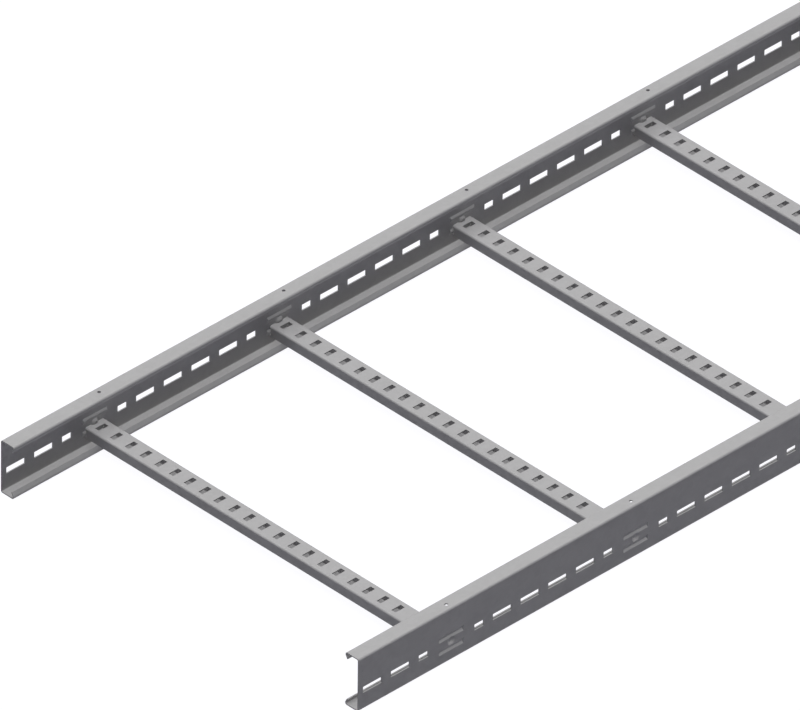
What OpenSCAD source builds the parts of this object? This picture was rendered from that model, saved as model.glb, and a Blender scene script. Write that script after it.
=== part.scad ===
// Cable ladder section: two inward-facing C side rails and ten slotted rungs.
// +X runs along the rails, +Y from the right rail to the left one, +Z is up.
// The origin is at the middle of the underside.

/* [Overall] */
// Distance between two rungs, centre to centre
rung_pitch = 300; // [200:5:400]
// Clear width between the webs of the side rails
clear_w = 600; // [300:5:900]

/* [Side rails] */
// Height of a side rail
rail_h = 75; // [60:1:120]
// Width of a flange, from the outer face of the web to the bend of the lip
flange_w = 22; // [18:0.5:40]
// Thickness of the rail's steel
rail_t = 1.5; // [1:0.1:2]
// Outer radius of the rail's bends
rail_bend_r = 3; // [2.5:0.1:5]
// Length of the straight part of a lip
lip_l = 5.5; // [3:0.5:8]
// Angle by which a lip leans back over its flange
lip_lean = 28; // [0:1:35]

/* [Web slots] */
// Height of the slots' centre line above the underside
slot_z = 28; // [26:0.5:34]
// Height of a slot
slot_h = 8.5; // [6:0.1:11]
// Length of a long slot
long_slot_l = 30; // [20:1:35]
// Length of the short slot on each side of a rung
short_slot_l = 15; // [10:1:20]
// Plain web between two slots
slot_gap = 15; // [10:1:20]
// Plain web on each side of a rung's centre, before the short slot
joint_half_l = 37.5; // [28:0.5:40]

/* [Flange holes] */
// Diameter of the hole in the top flange above each rung
flange_hole_d = 4.5; // [3:0.1:6.5]
// Distance from the outer face of the web to a flange hole
flange_hole_inset = 9; // [8:0.5:11]

/* [Pressed joint] */
// Length of a pressed rib in the web
rib_l = 40; // [34:1:50]
// Width of a rib where it leaves the web
rib_w = 8; // [6:0.5:8.5]
// Width of a rib's flat crest
rib_crest_w = 2; // [1:0.5:3]
// Depth to which a rib and its ends are pressed in
rib_depth = 1.6; // [0.8:0.1:2]
// Distance between the two ribs, centre to centre
rib_spacing = 18; // [14:0.5:19]
// Diameter of the dimple where it leaves the web
dimple_d = 12; // [11:0.5:14]
// Diameter of the dimple's flat bottom
dimple_floor_d = 5; // [3:0.5:6]
// Depth of the dimple
dimple_depth = 2.4; // [1.5:0.1:2.8]

/* [Rungs] */
// Width of a rung
rung_w = 30; // [24:1:40]
// Height of a rung
rung_h = 16; // [14:0.5:20]
// Height of a rung's underside above the underside of the rails
rung_z = 11; // [10.5:0.5:13]
// Thickness of the rung's steel
rung_t = 1.5; // [1:0.1:2]
// Outer radius of the rung's bends
rung_bend_r = 2.5; // [2.1:0.1:3.5]
// Width of the open mouth along the rung's underside
mouth_w = 12; // [8:1:16]
// Length of a rung hole, across the rung
hole_l = 15; // [10:1:18]
// Width of a rung hole, along the rung
hole_w = 7; // [5:0.5:12]
// Distance between two rung holes, centre to centre
hole_pitch = 25; // [20:1:40]
// Clearance between a rung's end and the pressed ribs and dimple
joint_clear = 0.3; // [0.1:0.1:0.6]

/* [Hidden] */
NODES = ["side_rail_right", "side_rail_left",
         "rung_01", "rung_02", "rung_03", "rung_04", "rung_05",
         "rung_06", "rung_07", "rung_08", "rung_09", "rung_10"];
$fn = 48;
rail_nodes = 2;
rungs = len(NODES) - rail_nodes;
rail_l = rungs * rung_pitch;
outer_w = clear_w + 2 * rail_t;
// How far a cut runs past the face that it opens
past = 1;
// How far the straight lip is set in from the tangent of its bend
lip_inset = 0.001;
// Long slots between the middle of a bay and the short slot
long_slots_start = joint_half_l + short_slot_l + slot_gap / 2;
long_slot_pitch = long_slot_l + slot_gap;
long_slots = floor((rung_pitch / 2 - long_slots_start) / long_slot_pitch);
// Rung holes, with at least half a pitch of plain top at each end
holes = floor(clear_w / hole_pitch);

// X of rung i, counted from 1
function rung_x(i) = (i - (rungs + 1) / 2) * rung_pitch;

// Lower half of the rail's section, filled out to one face of the folded sheet: x is
// the distance from the web's outer face, and r is the radius of that face's bends
module rail_half_outline(r, lip_end) {
    translate([rail_bend_r, rail_bend_r]) circle(r = r);
    translate([rail_bend_r - r, rail_bend_r]) square([r, rail_h / 2 - rail_bend_r]);
    translate([rail_bend_r, rail_bend_r - r]) square([flange_w - 2 * rail_bend_r, r]);
    translate([flange_w - rail_bend_r, rail_bend_r]) {
        circle(r = r);
        rotate(lip_lean) square([r - lip_inset, lip_end]);
    }
}

// The sheet lies between the outlines of its outer and its inner face, and the squares
// clear what the bends' discs leave inside the section
module rail_half_section() {
    difference() {
        rail_half_outline(rail_bend_r, lip_l);
        rail_half_outline(rail_bend_r - rail_t, lip_l + past);
        translate([rail_bend_r, rail_bend_r]) square(rail_bend_r);
        translate([flange_w - rail_bend_r, rail_bend_r])
            rotate(lip_lean + 90) square(rail_bend_r);
    }
}

module rail_section() {
    rail_half_section();
    translate([0, rail_h]) mirror([0, 1]) rail_half_section();
}

// A rib with sloping sides and ends, pressed along +Y from y = 0
module rib() {
    slope = (rib_w - rib_crest_w) / 2;
    intersection() {
        translate([-rib_l / 2, 0, 0]) rotate([90, 0, 90]) linear_extrude(rib_l)
            polygon([[0, -rib_w / 2], [rib_depth, -rib_crest_w / 2],
                     [rib_depth, rib_crest_w / 2], [0, rib_w / 2]]);
        translate([0, 0, -rib_w / 2]) linear_extrude(rib_w)
            polygon([[-rib_l / 2, 0], [rib_l / 2, 0],
                     [rib_l / 2 - slope / 2, rib_depth], [slope / 2 - rib_l / 2, rib_depth]]);
    }
}

// The round dimple, pressed along +Y from y = 0, wider and deeper by extra
module dimple(extra = 0) {
    rotate([-90, 0, 0])
        cylinder(d1 = dimple_d + 2 * extra, d2 = dimple_floor_d + 2 * extra,
                 h = dimple_depth + extra);
}

// What the press moves at one joint, along +Y from y = 0
module pressing() {
    for (side = [-1, 1]) translate([0, 0, slot_z + side * rib_spacing / 2]) rib();
    translate([0, 0, slot_z]) dimple();
}

// One slot of length l through the web, centred on x
module web_slot(x, l) {
    translate([x - l / 2, -past, slot_z - slot_h / 2])
        cube([l, rail_t + 2 * past, slot_h]);
}

// The slots in the web on both sides of a rung, as far as the middle of each bay
module web_slots() {
    for (side = [-1, 1]) {
        web_slot(side * (joint_half_l + short_slot_l / 2), short_slot_l);
        for (k = [0 : 1 : long_slots - 1])
            web_slot(side * (rung_pitch / 2 - (k + 0.5) * long_slot_pitch), long_slot_l);
    }
}

// A side rail with the outer face of its web at y = 0 and its flanges along +Y
module side_rail() {
    color("gray") difference() {
        union() {
            translate([-rail_l / 2, 0, 0])
                rotate([90, 0, 90]) linear_extrude(rail_l) rail_section();
            for (i = [1 : rungs]) translate([rung_x(i), rail_t, 0]) pressing();
        }
        for (i = [1 : rungs]) translate([rung_x(i), 0, 0]) {
            pressing();
            web_slots();
            translate([0, flange_hole_inset, rail_h - rail_t - past])
                cylinder(d = flange_hole_d, h = rail_t + 2 * past);
        }
    }
}

module side_rail_right() {
    translate([0, -outer_w / 2, 0]) side_rail();
}

module side_rail_left() {
    mirror([0, 1, 0]) side_rail_right();
}

// A quarter bend of sheet thickness t, between the +x and +y axes
module bend(r_out, t) {
    intersection() {
        difference() {
            circle(r = r_out);
            circle(r = r_out - t);
        }
        square(r_out);
    }
}

// Half of a rung's section: x from the rung's middle, y up from its underside
module rung_half_section() {
    r = rung_bend_r;
    inner = rung_w / 2 - r;
    translate([0, rung_h - rung_t]) square([inner, rung_t]);
    translate([inner, rung_h - r]) bend(r, rung_t);
    translate([rung_w / 2 - rung_t, r]) square([rung_t, rung_h - 2 * r]);
    translate([inner, r]) rotate(-90) bend(r, rung_t);
    translate([mouth_w / 2, 0]) square([inner - mouth_w / 2, rung_t]);
}

module rung_section() {
    rung_half_section();
    mirror([1, 0]) rung_half_section();
}

// What one end of a rung leaves free round the pressed web, along +Y from y = 0
module joint_relief() {
    rib_z = slot_z - rib_spacing / 2;
    relief_h = rib_w + 2 * joint_clear;
    translate([-rib_l / 2 - joint_clear, -past, rib_z - relief_h / 2])
        cube([rib_l + 2 * joint_clear, rib_depth + joint_clear + past, relief_h]);
    translate([0, 0, slot_z]) dimple(joint_clear);
}

// Rung number i, between the inner faces of the webs
module rung(i) {
    color("silver") translate([rung_x(i), 0, 0]) difference() {
        translate([0, clear_w / 2, rung_z])
            rotate([90, 0, 0]) linear_extrude(clear_w) rung_section();
        for (k = [0 : 1 : holes - 1])
            translate([-hole_l / 2, (k - (holes - 1) / 2) * hole_pitch - hole_w / 2,
                       rung_z + rung_h - rung_t - past])
                cube([hole_l, hole_w, rung_t + 2 * past]);
        translate([0, -clear_w / 2, 0]) joint_relief();
        mirror([0, 1, 0]) translate([0, -clear_w / 2, 0]) joint_relief();
    }
}

side_rail_right();
side_rail_left();
rung(1);  // rung_01
rung(2);  // rung_02
rung(3);  // rung_03
rung(4);  // rung_04
rung(5);  // rung_05
rung(6);  // rung_06
rung(7);  // rung_07
rung(8);  // rung_08
rung(9);  // rung_09
rung(10);  // rung_10
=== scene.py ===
"""A cable ladder section in galvanised steel: the finish of its rails and rungs, the floor,
the light and the camera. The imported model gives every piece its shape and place."""

import math

import bpy
from mathutils import Matrix, Vector


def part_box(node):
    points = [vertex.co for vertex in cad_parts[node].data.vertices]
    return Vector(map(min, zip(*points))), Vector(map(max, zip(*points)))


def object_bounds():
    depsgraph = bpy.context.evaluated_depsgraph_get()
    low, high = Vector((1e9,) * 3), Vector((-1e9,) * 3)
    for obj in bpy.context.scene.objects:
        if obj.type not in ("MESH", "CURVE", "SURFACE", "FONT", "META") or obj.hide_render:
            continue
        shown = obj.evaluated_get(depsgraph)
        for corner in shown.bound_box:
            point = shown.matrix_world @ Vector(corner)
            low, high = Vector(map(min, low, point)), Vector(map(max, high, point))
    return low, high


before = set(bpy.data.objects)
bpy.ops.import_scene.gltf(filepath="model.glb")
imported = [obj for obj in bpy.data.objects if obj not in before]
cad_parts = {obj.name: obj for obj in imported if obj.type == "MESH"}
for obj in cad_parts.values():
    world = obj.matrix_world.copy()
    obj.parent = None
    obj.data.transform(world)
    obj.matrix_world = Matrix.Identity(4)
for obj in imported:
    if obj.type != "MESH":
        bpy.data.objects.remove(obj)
cad_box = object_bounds()
scene = bpy.context.scene

# ---------------------------------------------------------------- the view

# The side that the camera looks from and its turn about its own axis, in degrees
VIEW_AZIMUTH = -44.36
VIEW_ELEVATION = 35.4
VIEW_ROLL = 0.59
# The width that it takes in, and the point in the middle of the view, in metres: its
# distances from the ladder's low end and from the outer face of the left rail's web
VIEW_WIDTH = 0.9413
AIM_FROM_END = 0.5058
AIM_FROM_LEFT_WEB = 0.149
# A long lens far away keeps parallel edges parallel
LENS_MM = 1500.0
SENSOR_MM = 36.0
NEAREST_SEEN = 1.0

# ---------------------------------------------------------------- galvanised steel

# The zinc's colour, and how much of it is metal to the eye
ZINC_COLOUR = (0.47, 0.4653, 0.47)
ZINC_METALLIC = 0.1
ZINC_SPECULAR = 0.3
# Widths in metres of the clouds, the crystals and the fine grain, and the height of the grain
CLOUD = 0.05
SPANGLE = 0.006
GRAIN = 0.0006
GRAIN_HEIGHT = 0.0002
GRAIN_BUMP = 0.25
# The lowest and highest share of the colour that each of them gives
CLOUD_SHADE = (0.95, 1.05)
SPANGLE_SHADE = (0.98, 1.02)
GRAIN_SHADE = (0.95, 1.05)
# The roughness of the smoothest and the roughest crystal
SPANGLE_ROUGHNESS = (0.48, 0.64)
# The grain's scale along x, y and z: it is drawn out the way each sheet was rolled
ROLLED_ALONG_X = (0.05, 1.0, 1.0)
ROLLED_ALONG_Y = (1.0, 0.05, 1.0)

# ---------------------------------------------------------------- floor and light

FLOOR_SIZE = 60.0
FLOOR_GAP = 0.0002
FLOOR_COLOUR = (0.19, 0.19, 0.235, 1.0)
# With the light that falls on it, this glow makes the floor white where it is seen
FLOOR_GLOW = 0.87
BACKDROP_COLOUR = (1.0, 1.0, 1.0, 1.0)
BACKDROP_GLOW = 1.0
# Strength of the two lamps, and the angle in degrees that each spans in the sky
SOFTBOX_STRENGTH = 1.25
SOFTBOX_SPAN = 66.0
FILL_STRENGTH = 1.42
FILL_SPAN = 5.0


# ---------------------------------------------------------------- node helpers


def new_material(name):
    """An empty node material with its output node."""
    material = bpy.data.materials.new(name)
    material.use_nodes = True
    material.node_tree.nodes.clear()
    output = material.node_tree.nodes.new("ShaderNodeOutputMaterial")
    return material, material.node_tree, output


def add_node(tree, kind, **settings):
    """A node with some of its properties and input values set."""
    node = tree.nodes.new(kind)
    for key, value in settings.items():
        if hasattr(node, key):
            setattr(node, key, value)
        else:
            node.inputs[key.replace("_", " ")].default_value = value
    return node


def mapped(tree, socket, low, high):
    """The socket's value from 0 to 1, laid out between low and high."""
    node = add_node(tree, "ShaderNodeMapRange", To_Min=low, To_Max=high)
    tree.links.new(socket, node.inputs["Value"])
    return node.outputs["Result"]


def product(tree, a, b):
    """Two values multiplied."""
    node = add_node(tree, "ShaderNodeMath", operation="MULTIPLY")
    tree.links.new(a, node.inputs[0])
    tree.links.new(b, node.inputs[1])
    return node.outputs[0]


def shaded(tree, colour, shade):
    """The colour, lighter or darker by the socket shade."""
    joined = add_node(tree, "ShaderNodeCombineColor")
    for channel, share in zip(("Red", "Green", "Blue"), colour):
        part = add_node(tree, "ShaderNodeMath", operation="MULTIPLY")
        part.inputs[1].default_value = share
        tree.links.new(shade, part.inputs[0])
        tree.links.new(part.outputs[0], joined.inputs[channel])
    return joined.outputs["Color"]


def seen_directly(tree):
    """1 for a ray from the camera, off gloss or through glass, else 0."""
    path = add_node(tree, "ShaderNodeLightPath")
    seen = path.outputs["Is Camera Ray"]
    for ray in ("Is Glossy Ray", "Is Transmission Ray"):
        either = add_node(tree, "ShaderNodeMath", operation="MAXIMUM")
        tree.links.new(seen, either.inputs[0])
        tree.links.new(path.outputs[ray], either.inputs[1])
        seen = either.outputs[0]
    return seen


# ---------------------------------------------------------------- materials


def galvanised(name, rolled_along):
    """Dull galvanised sheet: clouded zinc with faint crystals, and fine lines along the way
    in which the sheet was rolled."""
    material, tree, output = new_material(name)
    links = tree.links
    place = add_node(tree, "ShaderNodeTexCoord").outputs["Object"]

    clouds = add_node(tree, "ShaderNodeTexNoise", Scale=1 / CLOUD, Detail=4.0, Roughness=0.6)
    links.new(place, clouds.inputs["Vector"])

    crystals = add_node(tree, "ShaderNodeTexVoronoi", Scale=1 / SPANGLE)
    links.new(place, crystals.inputs["Vector"])
    chance = add_node(tree, "ShaderNodeSeparateColor")
    links.new(crystals.outputs["Color"], chance.inputs["Color"])

    along = add_node(tree, "ShaderNodeMapping", Scale=rolled_along)
    links.new(place, along.inputs["Vector"])
    grain = add_node(tree, "ShaderNodeTexNoise", Scale=1 / GRAIN, Detail=2.0, Roughness=0.5)
    links.new(along.outputs["Vector"], grain.inputs["Vector"])

    shade = product(tree, mapped(tree, clouds.outputs["Fac"], *CLOUD_SHADE),
                    mapped(tree, chance.outputs["Red"], *SPANGLE_SHADE))
    shade = product(tree, shade, mapped(tree, grain.outputs["Fac"], *GRAIN_SHADE))

    relief = add_node(tree, "ShaderNodeBump", Strength=GRAIN_BUMP, Distance=GRAIN_HEIGHT)
    links.new(grain.outputs["Fac"], relief.inputs["Height"])

    zinc = add_node(tree, "ShaderNodeBsdfPrincipled", Metallic=ZINC_METALLIC,
                    Specular_IOR_Level=ZINC_SPECULAR)
    links.new(shaded(tree, ZINC_COLOUR, shade), zinc.inputs["Base Color"])
    roughness = mapped(tree, chance.outputs["Green"], *SPANGLE_ROUGHNESS)
    links.new(roughness, zinc.inputs["Roughness"])
    links.new(relief.outputs["Normal"], zinc.inputs["Normal"])
    links.new(zinc.outputs["BSDF"], output.inputs["Surface"])
    return material


def floor_material():
    """A pale matt floor, white where it is seen, which still takes the ladder's shadow."""
    material, tree, output = new_material("studio_floor")
    matt = add_node(tree, "ShaderNodeBsdfDiffuse", Color=FLOOR_COLOUR)
    glow = add_node(tree, "ShaderNodeEmission")
    tree.links.new(mapped(tree, seen_directly(tree), 0.0, FLOOR_GLOW), glow.inputs["Strength"])
    both = add_node(tree, "ShaderNodeAddShader")
    tree.links.new(matt.outputs["BSDF"], both.inputs[0])
    tree.links.new(glow.outputs["Emission"], both.inputs[1])
    tree.links.new(both.outputs["Shader"], output.inputs["Surface"])
    return material


def finish_ladder():
    """Zinc on every piece of the ladder, with its grain along the piece."""
    rail_zinc = galvanised("galvanised_rail", ROLLED_ALONG_X)
    rung_zinc = galvanised("galvanised_rung", ROLLED_ALONG_Y)
    for name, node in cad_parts.items():
        node.data.materials.clear()
        node.data.materials.append(rail_zinc if name.startswith("side_rail") else rung_zinc)


# ---------------------------------------------------------------- studio


def make_floor():
    """A wide floor just below the ladder."""
    half = FLOOR_SIZE / 2
    mesh = bpy.data.meshes.new("studio_floor")
    corners = [(-half, -half, 0), (half, -half, 0), (half, half, 0), (-half, half, 0)]
    mesh.from_pydata(corners, [], [(0, 1, 2, 3)])
    mesh.materials.append(floor_material())
    floor = bpy.data.objects.new("studio_floor", mesh)
    floor.location.z = cad_box[0].z - FLOOR_GAP
    scene.collection.objects.link(floor)


def make_backdrop():
    """A white world where it is seen, which gives no light of its own."""
    world = bpy.data.worlds.new("studio")
    scene.world = world
    world.use_nodes = True
    tree = world.node_tree
    tree.nodes.clear()
    output = tree.nodes.new("ShaderNodeOutputWorld")
    sky = add_node(tree, "ShaderNodeBackground", Color=BACKDROP_COLOUR)
    tree.links.new(mapped(tree, seen_directly(tree), 0.0, BACKDROP_GLOW), sky.inputs["Strength"])
    tree.links.new(sky.outputs["Background"], output.inputs["Surface"])


def make_overhead_lamp(name, strength, span, shadow=True):
    """A far round lamp straight above. Without shadow it fills the hollows too."""
    lamp = bpy.data.lights.new(name, "SUN")
    lamp.energy = strength
    lamp.angle = math.radians(span)
    lamp.use_shadow = shadow
    scene.collection.objects.link(bpy.data.objects.new(name, lamp))


def make_camera():
    """A far camera with a long lens, turned slightly about its own axis."""
    low, high = cad_box
    rung_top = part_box("rung_01")[1].z
    aim = Vector((low.x + AIM_FROM_END, high.y - AIM_FROM_LEFT_WEB, rung_top))
    a, e = math.radians(VIEW_AZIMUTH), math.radians(VIEW_ELEVATION)
    back = Vector((math.sin(a) * math.cos(e), -math.cos(a) * math.cos(e), math.sin(e)))
    distance = VIEW_WIDTH * LENS_MM / SENSOR_MM

    lens = bpy.data.cameras.new("camera")
    lens.lens = LENS_MM
    lens.sensor_width = SENSOR_MM
    lens.clip_start = NEAREST_SEEN
    lens.clip_end = distance + FLOOR_SIZE
    camera = bpy.data.objects.new("camera", lens)
    turn = (-back).to_track_quat("-Z", "Y").to_matrix().to_4x4()
    roll = Matrix.Rotation(math.radians(VIEW_ROLL), 4, "Z")
    camera.matrix_world = Matrix.Translation(aim + back * distance) @ turn @ roll
    scene.collection.objects.link(camera)
    scene.camera = camera


finish_ladder()
make_floor()
make_backdrop()
make_overhead_lamp("overhead_softbox", SOFTBOX_STRENGTH, SOFTBOX_SPAN)
make_overhead_lamp("overhead_fill", FILL_STRENGTH, FILL_SPAN, shadow=False)
make_camera()
scene.view_settings.view_transform = "Standard"
